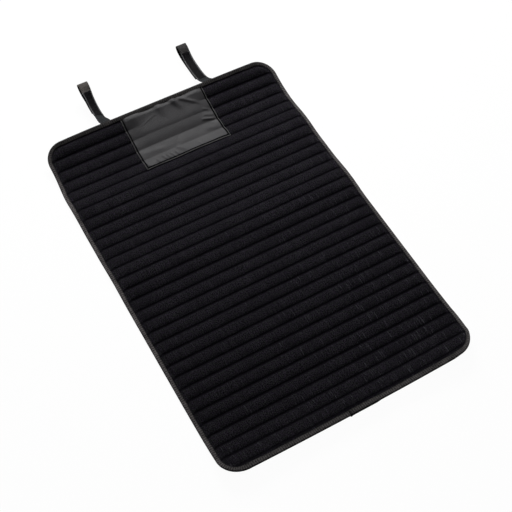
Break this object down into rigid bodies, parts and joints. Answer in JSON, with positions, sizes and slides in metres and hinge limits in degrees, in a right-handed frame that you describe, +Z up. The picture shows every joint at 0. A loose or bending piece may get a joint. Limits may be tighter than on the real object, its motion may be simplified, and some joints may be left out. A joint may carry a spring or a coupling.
{
  "type": "surfboard rack pad",
  "caption": "Flat quilted mat with a taped edge, rounded corners, a plain fabric panel at one end and strap loops to hang it from a roof bar.",
  "frame": {"origin": "middle of the underside, on the surface that the mat lies on", "axes": "+X across the mat to the right, +Y along it towards the straps, +Z up through the quilted face"},
  "size_m": [0.6024, 1.0395, 0.0442],
  "materials": {
    "face": "brushed black polyester, quilted",
    "foam": "open cell foam sheet",
    "backing": "plain woven polyester",
    "binding": "ribbed grosgrain tape",
    "panel": "coated fabric with a soft sheen",
    "webbing": "grey woven webbing",
    "pile": "black loop pile tape",
    "hook": "black nylon hook tape"
  },
  "bodies": {
    "root": {"face_fabric": "face", "foam_padding": "foam", "backing_fabric": "backing", "edge_binding": "binding", "patch_panel": "panel", "strap_left": "webbing", "pile_tape_left": "pile", "hook_tape_left": "hook", "strap_right": "webbing", "pile_tape_right": "pile", "hook_tape_right": "hook"}
  },
  "joints": []
}
